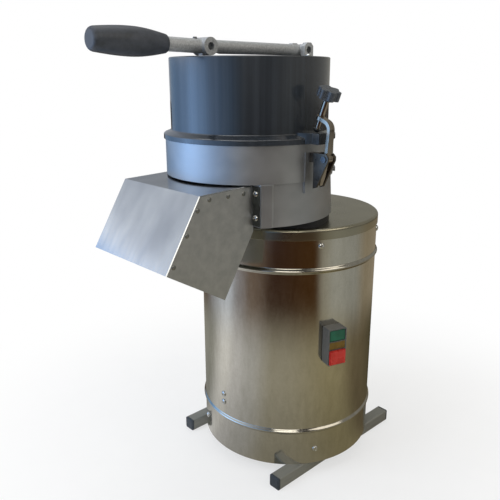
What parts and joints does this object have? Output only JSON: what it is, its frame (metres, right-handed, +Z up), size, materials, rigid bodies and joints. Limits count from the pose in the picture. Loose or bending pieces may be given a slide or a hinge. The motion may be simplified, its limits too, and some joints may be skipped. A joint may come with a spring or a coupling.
{
  "type": "vegetable cutting machine",
  "caption": "Tabletop vegetable cutter: round steel motor casing on skids, offset cast bowl with discharge chute, dark feed hopper, lever pusher, hook clamp and push-button switch.",
  "frame": {"origin": "on the table under the casing's axis, at the middle of the four bench bolt holes in the skids", "axes": "+Z up, the chute and the lever's grip point to -X, the operator stands at -Y"},
  "size_m": [0.489, 0.3076, 0.6598],
  "materials": {
    "skid_steel": "satin",
    "cap_plastic": "matte",
    "pan_steel": "satin grey paint",
    "casing_steel": "brushed stainless steel",
    "cover_steel": "satin stainless steel",
    "screw_steel": "bright zinc",
    "gland_plastic": "moulded",
    "shaft_steel": "ground",
    "motor_paint": "satin paint",
    "pulley_iron": "turned",
    "belt_rubber": "matte",
    "housing_iron": "cast",
    "capacitor_can": "moulded",
    "bowl_aluminium": "cast and fettled",
    "gasket_rubber": "moulded",
    "disc_aluminium": "turned",
    "knife_steel": "ground",
    "knob_plastic": "moulded",
    "chute_steel": "brushed stainless steel",
    "rivet_aluminium": "bright",
    "hopper_paint": "gloss enamel",
    "lever_aluminium": "sand cast",
    "grip_plastic": "moulded",
    "pin_steel": "ground",
    "bracket_zinc": "blue zinc",
    "clamp_nickel": "dull nickel",
    "switch_grey": "moulded",
    "start_green": "moulded",
    "stop_red": "moulded",
    "lens_amber": "tinted"
  },
  "bodies": {
    "machine": {"front_skid": "skid_steel", "rear_skid": "skid_steel", "skid_end_caps": "cap_plastic", "base_pan": "pan_steel", "casing": "casing_steel", "top_cover": "cover_steel", "casing_screws": "screw_steel", "cable_gland": "gland_plastic", "frame_pillars": "shaft_steel", "deck_plate": "pan_steel", "motor_body": "motor_paint", "motor_plate": "pan_steel", "motor_studs": "shaft_steel", "drive_belt": "belt_rubber", "bearing_housing": "housing_iron", "spindle_bearings": "shaft_steel", "spindle_seal": "gasket_rubber", "run_capacitor": "capacitor_can", "capacitor_clip": "pan_steel", "bowl": "bowl_aluminium", "bowl_gasket": "gasket_rubber", "bowl_bolts": "screw_steel", "bowl_screws": "screw_steel", "chute_hood": "chute_steel", "chute_front_side": "chute_steel", "chute_rear_side": "chute_steel", "chute_floor": "chute_steel", "chute_rivets": "rivet_aluminium", "hopper": "hopper_paint", "hopper_keeper": "bracket_zinc", "lever_bracket": "lever_aluminium", "bracket_bolts": "screw_steel", "lever_pin": "pin_steel", "clamp_bracket": "bracket_zinc", "clamp_pin": "screw_steel", "switch_body": "switch_grey", "pilot_lens": "lens_amber", "contact_block": "gland_plastic"},
    "lever": {"lever_arm": "lever_aluminium", "lever_set_screw": "pin_steel", "lever_grip": "grip_plastic", "pusher_pin": "pin_steel"},
    "pusher": {"pusher": "lever_aluminium"},
    "clamp": {"clamp_lever": "clamp_nickel"},
    "clamp_nose": {"clamp_nose": "pin_steel"},
    "clamp_screw": {"clamp_screw": "clamp_nickel", "clamp_knob": "knob_plastic"},
    "start_button": {"start_button": "start_green"},
    "stop_button": {"stop_button": "stop_red"},
    "rotor": {"spindle": "shaft_steel", "spindle_pulley": "pulley_iron", "pulley_nut": "screw_steel", "ejector_disc": "disc_aluminium", "cutting_disc": "disc_aluminium", "slicing_knives": "knife_steel", "knife_screws": "screw_steel", "disc_knob": "knob_plastic"},
    "motor_rotor": {"motor_shaft": "shaft_steel", "motor_pulley": "pulley_iron"}
  },
  "joints": [
    {"name": "lever_lift", "type": "hinge", "parent": "machine", "child": "lever", "pos_m": [0.0194, 0, 0.6397], "axis": [0, 1, 0], "range_deg": [0, 55]},
    {"name": "pusher_swing", "type": "hinge", "parent": "lever", "child": "pusher", "pos_m": [-0.1646, 0, 0.6397], "axis": [0, 1, 0], "range_deg": [-55, 0]},
    {"name": "clamp_swing", "type": "hinge", "parent": "machine", "child": "clamp", "pos_m": [-0.0846, -0.1485, 0.4997], "axis": [1, 0, 0], "range_deg": [0, 18]},
    {"name": "clamp_advance", "type": "slide", "parent": "clamp", "child": "clamp_nose", "axis": [0, -0.3746, 0.9272], "range_m": [0, 0.00375]},
    {"name": "clamp_turn", "type": "hinge", "parent": "clamp_nose", "child": "clamp_screw", "pos_m": [-0.0846, -0.1345, 0.551], "axis": [0, -0.3746, 0.9272], "range_deg": [0, 1090]},
    {"name": "start_press", "type": "slide", "parent": "machine", "child": "start_button", "axis": [0.3173, 0.9483, 0], "range_m": [0, 0.003], "stiffness_N_per_m": 400},
    {"name": "stop_press", "type": "slide", "parent": "machine", "child": "stop_button", "axis": [0.3173, 0.9483, 0], "range_m": [0, 0.003], "stiffness_N_per_m": 400},
    {"name": "spindle_spin", "type": "hinge", "parent": "machine", "child": "rotor", "pos_m": [-0.0846, 0, 0.4], "axis": [0, 0, 1], "continuous": true},
    {"name": "motor_spin", "type": "hinge", "parent": "machine", "child": "motor_rotor", "pos_m": [0.048, 0, 0.3], "axis": [0, 0, 1], "continuous": true}
  ],
  "couplings": [
    {"joint": "pusher_swing", "follows": "lever_lift", "ratio": -1},
    {"joint": "clamp_turn", "follows": "clamp_advance", "rad_per_m": 5026.5},
    {"joint": "motor_spin", "follows": "spindle_spin", "ratio": 2.9178}
  ]
}
